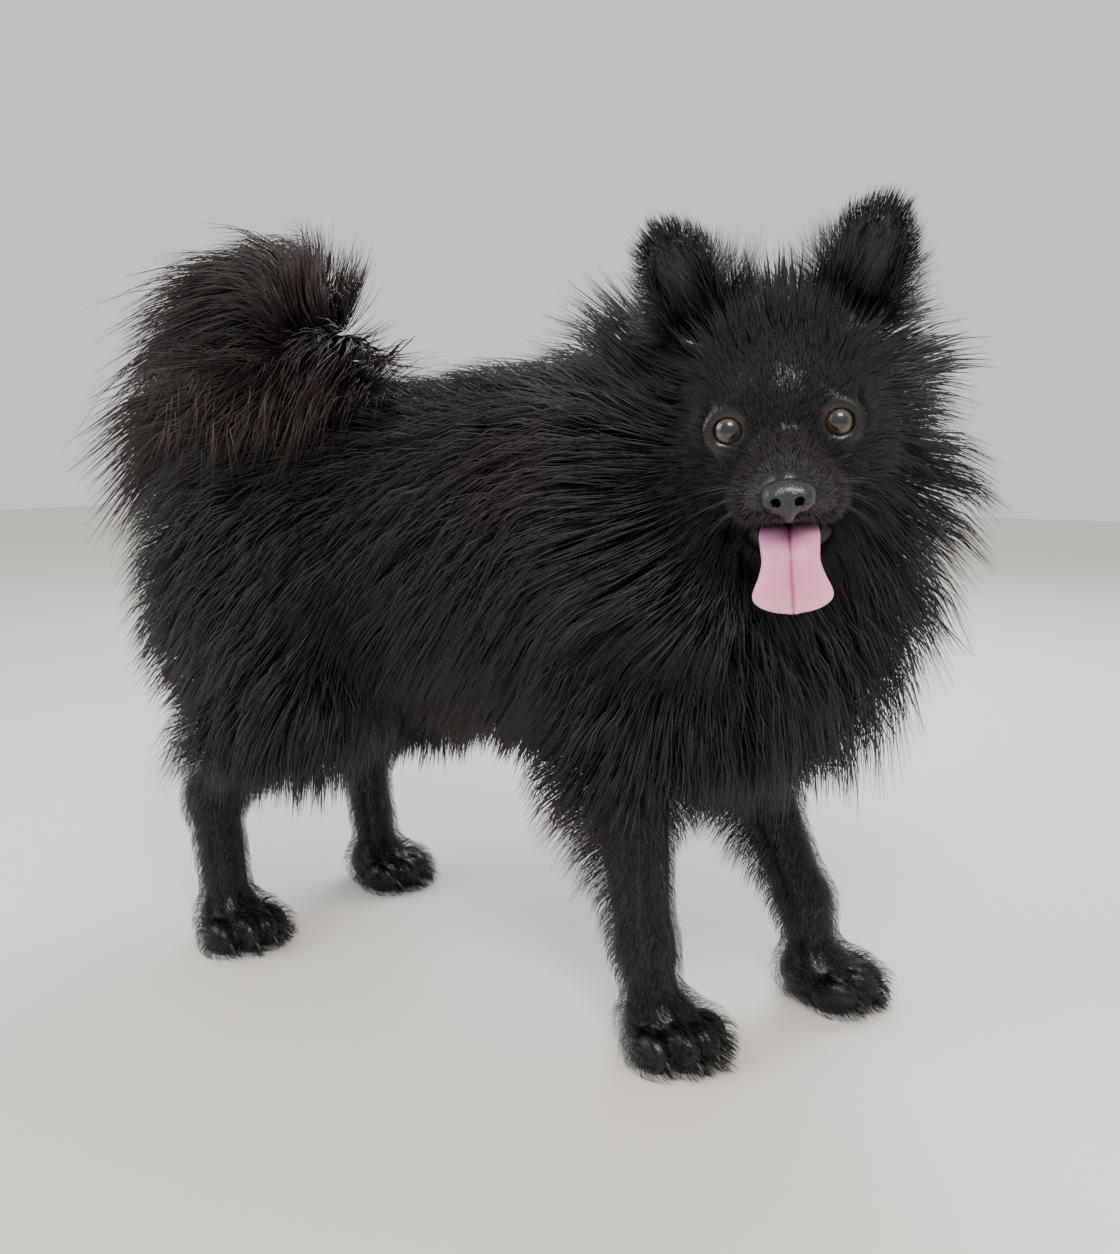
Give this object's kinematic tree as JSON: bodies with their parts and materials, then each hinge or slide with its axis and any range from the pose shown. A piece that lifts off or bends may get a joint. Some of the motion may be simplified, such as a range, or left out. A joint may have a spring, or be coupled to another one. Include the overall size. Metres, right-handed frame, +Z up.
{
  "type": "pomeranian dog",
  "caption": "Still, life-size long-haired small dog standing with its head turned to the side, mouth open and plumed tail curled over the rump.",
  "frame": {"origin": "on the floor, under the middle of the whole outline", "axes": "+Z up, +X from the hind feet to the chest, +Y to the dog's left side"},
  "size_m": [0.5008, 0.2192, 0.4076],
  "materials": {
    "coat": "long glossy black hair with a blue-black sheen, rusty brown at the tail and flanks",
    "eye": "wet dark brown iris with a black pupil",
    "nose_leather": "moist pebbled black",
    "tongue": "wet pink skin with a groove down the middle"
  },
  "bodies": {
    "root": {"eye_left": "eye", "eye_right": "eye", "nose": "nose_leather", "tongue": "tongue", "ear_left": "coat", "ear_right": "coat", "jaw": "coat", "fore_paw_left": "coat", "fore_leg_left": "coat", "hind_paw_left": "coat", "hind_leg_left": "coat", "fore_paw_right": "coat", "fore_leg_right": "coat", "hind_paw_right": "coat", "hind_leg_right": "coat", "tail_base": "coat", "tail_end": "coat", "head": "coat", "neck": "coat", "torso": "coat", "thigh_left": "coat", "thigh_right": "coat"}
  },
  "joints": []
}
